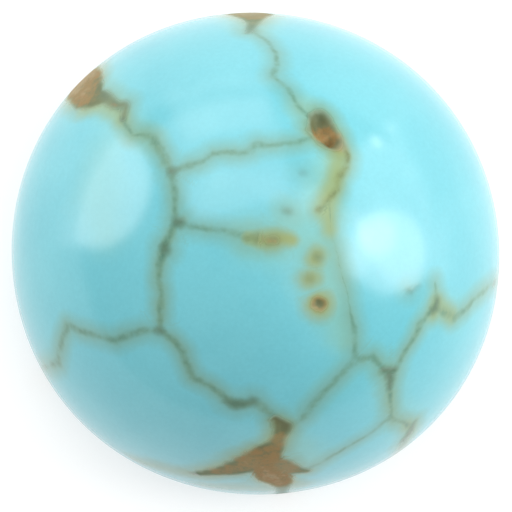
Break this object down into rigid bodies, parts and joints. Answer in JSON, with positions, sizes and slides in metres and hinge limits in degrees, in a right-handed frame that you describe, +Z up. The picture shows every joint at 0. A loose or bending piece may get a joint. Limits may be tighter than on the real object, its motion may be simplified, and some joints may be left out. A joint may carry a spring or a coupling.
{
  "type": "polished round turquoise cabochon",
  "caption": "High-domed round turquoise cabochon with brown matrix veins, small matrix pockets and a flat lapped back to rest on or glue down.",
  "frame": {"origin": "middle of the flat back, which the stone rests on", "axes": "+Z up through the apex of the dome, +Y towards the side with the large pocket and +X to its right, seen from above"},
  "size_m": [0.012, 0.0118, 0.0069],
  "materials": {
    "turquoise": "gloss"
  },
  "bodies": {
    "root": {"turquoise_stone": "turquoise"}
  },
  "joints": []
}
